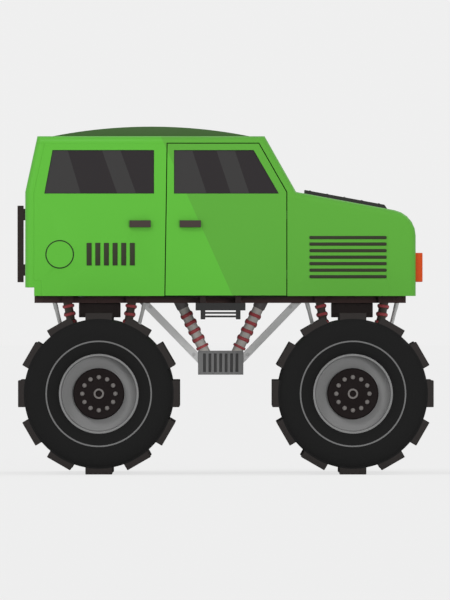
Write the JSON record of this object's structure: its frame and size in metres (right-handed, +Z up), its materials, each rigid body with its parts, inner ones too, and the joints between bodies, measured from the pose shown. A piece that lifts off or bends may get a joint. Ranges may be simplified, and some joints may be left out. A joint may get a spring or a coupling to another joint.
{
  "type": "monster truck",
  "caption": "Off-road truck with a closed steel body high on a ladder frame, coil-over suspension, steered axles and very large lugged tyres.",
  "frame": {"origin": "on the ground, midway between the axles and between the left and right wheels", "axes": "+X forward, +Y to the vehicle's left, +Z up"},
  "size_m": [4.338, 3.74, 3.625],
  "materials": {
    "body_green": "two tones of gloss green",
    "cap_green": "satin dark green",
    "tinted_glass": "dark tint with lighter diagonal bands",
    "frame_black": "semi-gloss black chassis paint",
    "dark_trim": "satin charcoal",
    "handle_dark": "satin dark brown-grey",
    "lamp_clear": "clear fluted lens",
    "lamp_amber": "amber lens",
    "lamp_red": "red lens",
    "gearbox_grey": "satin mid grey",
    "brace_grey": "satin light grey",
    "axle_steel": "satin black",
    "damper_grey": "satin grey-green",
    "damper_dark": "satin dark bronze",
    "spring_red": "gloss red powder coat",
    "link_steel": "brushed",
    "step_black": "textured black",
    "seat_fabric": "woven charcoal",
    "dash_plastic": "grained black",
    "engine_iron": "as cast",
    "tyre_rubber": "matt black rubber",
    "rim_grey": "satin grey"
  },
  "bodies": {
    "chassis": {"roof": "body_green", "roof_cap": "cap_green", "rear_frame": "body_green", "quarter_panels": "body_green", "windscreen_frame": "body_green", "front_wings": "body_green", "nose_panel": "body_green", "grille": "dark_trim", "floor_pan": "frame_black", "firewall": "frame_black", "cab_glass": "tinted_glass", "side_louvres": "dark_trim", "quarter_handles": "handle_dark", "headlamps": "lamp_clear", "marker_lamps": "lamp_amber", "tail_lamps": "lamp_red", "frame_rails": "frame_black", "cross_members": "frame_black", "axle_cradles": "frame_black", "gearbox": "gearbox_grey", "gearbox_braces": "brace_grey", "centre_dampers": "damper_grey", "centre_springs": "spring_red", "corner_dampers": "damper_dark", "corner_springs": "spring_red", "axle_links": "link_steel", "side_steps": "step_black", "seats": "seat_fabric", "dashboard": "dash_plastic", "engine": "engine_iron", "axle_front": "axle_steel", "axle_rear": "axle_steel"},
    "door_right": {"door_right": "body_green", "door_glass_right": "tinted_glass", "door_handle_right": "handle_dark"},
    "door_left": {"door_left": "body_green", "door_glass_left": "tinted_glass", "door_handle_left": "handle_dark"},
    "rear_door": {"rear_door": "body_green", "rear_door_glass": "tinted_glass", "rear_ladder": "dark_trim"},
    "bonnet": {"bonnet": "body_green", "bonnet_plate": "dark_trim"},
    "tie_rod_front": {"tie_rod_front": "axle_steel"},
    "knuckle_front_right": {"knuckle_front_right": "axle_steel"},
    "wheel_front_right": {"tyre_front_right": "tyre_rubber", "rim_front_right": "rim_grey"},
    "knuckle_front_left": {"knuckle_front_left": "axle_steel"},
    "wheel_front_left": {"tyre_front_left": "tyre_rubber", "rim_front_left": "rim_grey"},
    "tie_rod_rear": {"tie_rod_rear": "axle_steel"},
    "knuckle_rear_right": {"knuckle_rear_right": "axle_steel"},
    "wheel_rear_right": {"tyre_rear_right": "tyre_rubber", "rim_rear_right": "rim_grey"},
    "knuckle_rear_left": {"knuckle_rear_left": "axle_steel"},
    "wheel_rear_left": {"tyre_rear_left": "tyre_rubber", "rim_rear_left": "rim_grey"}
  },
  "joints": [
    {"name": "door_right_hinge", "type": "hinge", "parent": "chassis", "child": "door_right", "pos_m": [0.636, -0.905, 1.854], "axis": [0, 0.0506, 0.9987], "range_deg": [0, 70]},
    {"name": "door_left_hinge", "type": "hinge", "parent": "chassis", "child": "door_left", "pos_m": [0.636, 0.905, 1.854], "axis": [0, 0.0506, -0.9987], "range_deg": [0, 70]},
    {"name": "rear_door_hinge", "type": "hinge", "parent": "chassis", "child": "rear_door", "pos_m": [-2.098, -0.59, 2.5], "axis": [0, 0, 1], "range_deg": [0, 90]},
    {"name": "bonnet_hinge", "type": "hinge", "parent": "chassis", "child": "bonnet", "pos_m": [0.8, 0, 2.93258], "axis": [0, -1, 0], "range_deg": [0, 55]},
    {"name": "steer_front_right", "type": "hinge", "parent": "chassis", "child": "knuckle_front_right", "pos_m": [1.32, -0.7, 0.838], "axis": [0, 0, 1], "range_deg": [-25, 25]},
    {"name": "wheel_front_right_spin", "type": "hinge", "parent": "knuckle_front_right", "child": "wheel_front_right", "pos_m": [1.32, -1.325, 0.838], "axis": [0, 1, 0], "continuous": true},
    {"name": "steer_front_left", "type": "hinge", "parent": "chassis", "child": "knuckle_front_left", "pos_m": [1.32, 0.7, 0.838], "axis": [0, 0, 1], "range_deg": [-25, 25]},
    {"name": "wheel_front_left_spin", "type": "hinge", "parent": "knuckle_front_left", "child": "wheel_front_left", "pos_m": [1.32, 1.325, 0.838], "axis": [0, 1, 0], "continuous": true},
    {"name": "tie_rod_front_pivot", "type": "hinge", "parent": "knuckle_front_right", "child": "tie_rod_front", "pos_m": [1.6, -0.7, 0.777], "axis": [0, 0, 1], "range_deg": [-25, 25]},
    {"name": "steer_rear_right", "type": "hinge", "parent": "chassis", "child": "knuckle_rear_right", "pos_m": [-1.32, -0.7, 0.838], "axis": [0, 0, 1], "range_deg": [-25, 25]},
    {"name": "wheel_rear_right_spin", "type": "hinge", "parent": "knuckle_rear_right", "child": "wheel_rear_right", "pos_m": [-1.32, -1.325, 0.838], "axis": [0, 1, 0], "continuous": true},
    {"name": "steer_rear_left", "type": "hinge", "parent": "chassis", "child": "knuckle_rear_left", "pos_m": [-1.32, 0.7, 0.838], "axis": [0, 0, 1], "range_deg": [-25, 25]},
    {"name": "wheel_rear_left_spin", "type": "hinge", "parent": "knuckle_rear_left", "child": "wheel_rear_left", "pos_m": [-1.32, 1.325, 0.838], "axis": [0, 1, 0], "continuous": true},
    {"name": "tie_rod_rear_pivot", "type": "hinge", "parent": "knuckle_rear_right", "child": "tie_rod_rear", "pos_m": [-1.6, -0.7, 0.777], "axis": [0, 0, 1], "range_deg": [-25, 25]}
  ],
  "couplings": [
    {"joint": "steer_front_left", "follows": "steer_front_right", "ratio": 1},
    {"joint": "tie_rod_front_pivot", "follows": "steer_front_right", "ratio": -1},
    {"joint": "steer_rear_left", "follows": "steer_rear_right", "ratio": 1},
    {"joint": "tie_rod_rear_pivot", "follows": "steer_rear_right", "ratio": -1}
  ]
}
